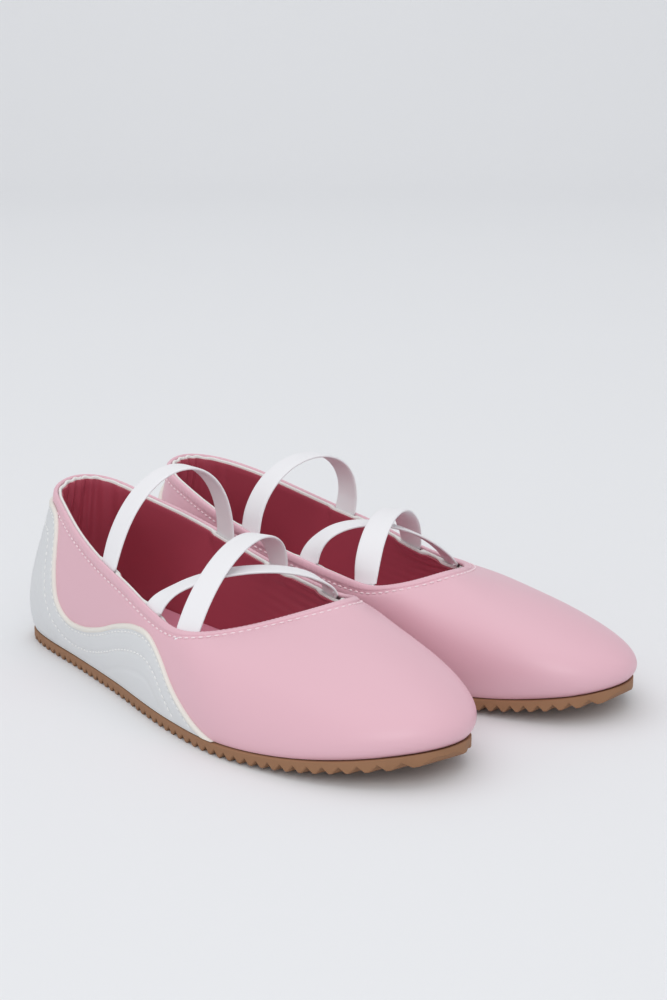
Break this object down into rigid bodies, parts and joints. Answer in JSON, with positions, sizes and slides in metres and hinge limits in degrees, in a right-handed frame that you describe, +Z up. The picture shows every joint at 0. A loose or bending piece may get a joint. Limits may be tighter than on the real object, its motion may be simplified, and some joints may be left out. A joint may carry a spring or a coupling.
{
  "type": "pair of ballet flats",
  "caption": "Pair of soft leather ballet flats with ridged soles, wavy heel overlays, bound toplines and crossed elastic straps.",
  "frame": {"origin": "middle of the pair's footprint, on the ground the soles stand on", "axes": "+Z up, toes towards -Y, right shoe at -X and left shoe at +X"},
  "size_m": [0.1816, 0.2522, 0.0866],
  "materials": {
    "gum_rubber": "matte",
    "filler_felt": "matte",
    "insole_fibreboard": "matte",
    "insole_foam": "matte",
    "sock_leather": "satin",
    "pink_leather": "satin",
    "rose_lining": "satin",
    "white_leather": "satin",
    "cream_edge": "satin",
    "white_tape": "matte",
    "white_elastic": "matte",
    "stiffener": "matte"
  },
  "bodies": {
    "right_shoe": {"right_outsole": "gum_rubber", "right_bottom_filler": "filler_felt", "right_insole_board": "insole_fibreboard", "right_cushion_pad": "insole_foam", "right_sock_lining": "sock_leather", "right_upper": "pink_leather", "right_heel_overlay": "white_leather", "right_overlay_piping": "cream_edge", "right_topline_binding": "pink_leather", "right_lining_edge": "white_tape", "right_vamp_lining": "rose_lining", "right_quarter_lining": "rose_lining", "right_heel_counter": "stiffener", "right_toe_puff": "stiffener", "right_collar_elastic": "white_elastic", "right_instep_tab_outer": "white_elastic", "right_instep_tab_inner": "white_elastic", "right_front_tab_outer": "white_elastic", "right_front_tab_inner": "white_elastic", "right_rear_tab_outer": "white_elastic", "right_rear_tab_inner": "white_elastic"},
    "right_instep_strap_loop": {"right_instep_strap": "white_elastic"},
    "right_over_strap_loop": {"right_over_strap": "white_elastic"},
    "right_under_strap_loop": {"right_under_strap": "white_elastic"},
    "left_shoe": {"left_outsole": "gum_rubber", "left_bottom_filler": "filler_felt", "left_insole_board": "insole_fibreboard", "left_cushion_pad": "insole_foam", "left_sock_lining": "sock_leather", "left_upper": "pink_leather", "left_heel_overlay": "white_leather", "left_overlay_piping": "cream_edge", "left_topline_binding": "pink_leather", "left_lining_edge": "white_tape", "left_vamp_lining": "rose_lining", "left_quarter_lining": "rose_lining", "left_heel_counter": "stiffener", "left_toe_puff": "stiffener", "left_collar_elastic": "white_elastic", "left_instep_tab_outer": "white_elastic", "left_instep_tab_inner": "white_elastic", "left_front_tab_outer": "white_elastic", "left_front_tab_inner": "white_elastic", "left_rear_tab_outer": "white_elastic", "left_rear_tab_inner": "white_elastic"},
    "left_instep_strap_loop": {"left_instep_strap": "white_elastic"},
    "left_over_strap_loop": {"left_over_strap": "white_elastic"},
    "left_under_strap_loop": {"left_under_strap": "white_elastic"}
  },
  "joints": [
    {"name": "left_shoe_lift", "type": "slide", "parent": "right_shoe", "child": "left_shoe", "axis": [0, 0, 1], "range_m": [0, 0.12]},
    {"name": "right_instep_swing", "type": "hinge", "parent": "right_shoe", "child": "right_instep_strap_loop", "pos_m": [-0.03621, 0.04203, 0.0572], "axis": [0.9981, -0.0539, 0.0312], "range_deg": [-35, 35], "stiffness_Nm_per_rad": 0.05},
    {"name": "right_over_swing", "type": "hinge", "parent": "right_shoe", "child": "right_over_strap_loop", "pos_m": [-0.04092, -0.00352, 0.04694], "axis": [0.947, 0.2894, 0.1398], "range_deg": [-8, 8], "stiffness_Nm_per_rad": 0.05},
    {"name": "right_under_swing", "type": "hinge", "parent": "right_shoe", "child": "right_under_strap_loop", "pos_m": [-0.04045, -0.00834, 0.04718], "axis": [0.8761, -0.482, 0.0115], "range_deg": [-8, 8], "stiffness_Nm_per_rad": 0.05},
    {"name": "left_instep_swing", "type": "hinge", "parent": "left_shoe", "child": "left_instep_strap_loop", "pos_m": [0.03621, 0.04203, 0.0572], "axis": [0.9981, 0.0539, -0.0312], "range_deg": [-35, 35], "stiffness_Nm_per_rad": 0.05},
    {"name": "left_over_swing", "type": "hinge", "parent": "left_shoe", "child": "left_over_strap_loop", "pos_m": [0.04045, -0.00834, 0.04718], "axis": [0.8761, 0.482, -0.0115], "range_deg": [-8, 8], "stiffness_Nm_per_rad": 0.05},
    {"name": "left_under_swing", "type": "hinge", "parent": "left_shoe", "child": "left_under_strap_loop", "pos_m": [0.04092, -0.00352, 0.04694], "axis": [0.947, -0.2894, -0.1398], "range_deg": [-8, 8], "stiffness_Nm_per_rad": 0.05}
  ],
  "couplings": [
    {"joint": "right_under_swing", "follows": "right_over_swing", "ratio": 1},
    {"joint": "left_under_swing", "follows": "left_over_swing", "ratio": 1}
  ]
}
